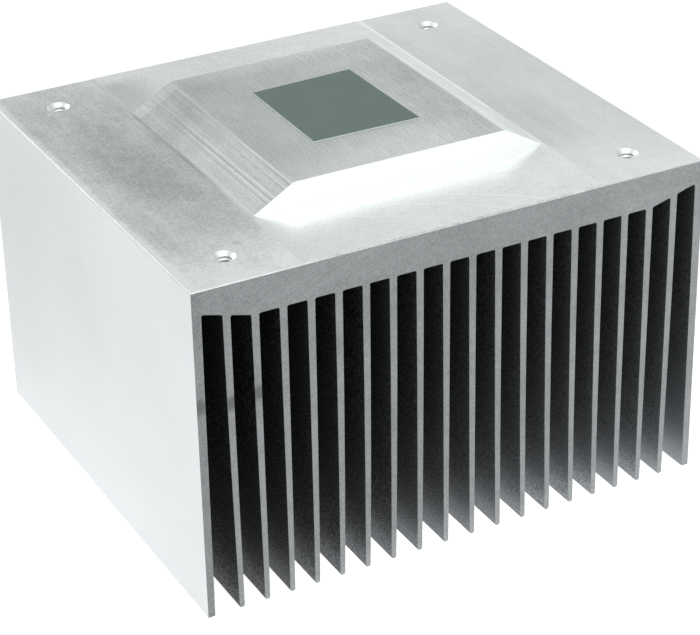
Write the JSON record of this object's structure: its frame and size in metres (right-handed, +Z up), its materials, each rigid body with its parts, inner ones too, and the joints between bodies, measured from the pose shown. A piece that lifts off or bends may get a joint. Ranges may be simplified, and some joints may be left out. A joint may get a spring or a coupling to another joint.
{
  "type": "passive cpu heat sink",
  "caption": "Extruded comb of thin upright fins under a thick base, with a raised sloping-sided contact pedestal, a thermal pad on it and a tapped hole near each corner.",
  "frame": {"origin": "middle of the plane of the fin tips, on which the part stands", "axes": "+X across the fins, +Y along the extrusion towards the back, +Z up from the fin tips to the contact pedestal"},
  "size_m": [0.095, 0.085, 0.0646],
  "materials": {
    "bare_aluminium": "bare extruded metal, milled on the pedestal and sawn at both ends",
    "pad_sheet": "matt grey-green thermal interface sheet"
  },
  "bodies": {
    "root": {"heat_sink": "bare_aluminium", "thermal_pad": "pad_sheet"}
  },
  "joints": []
}
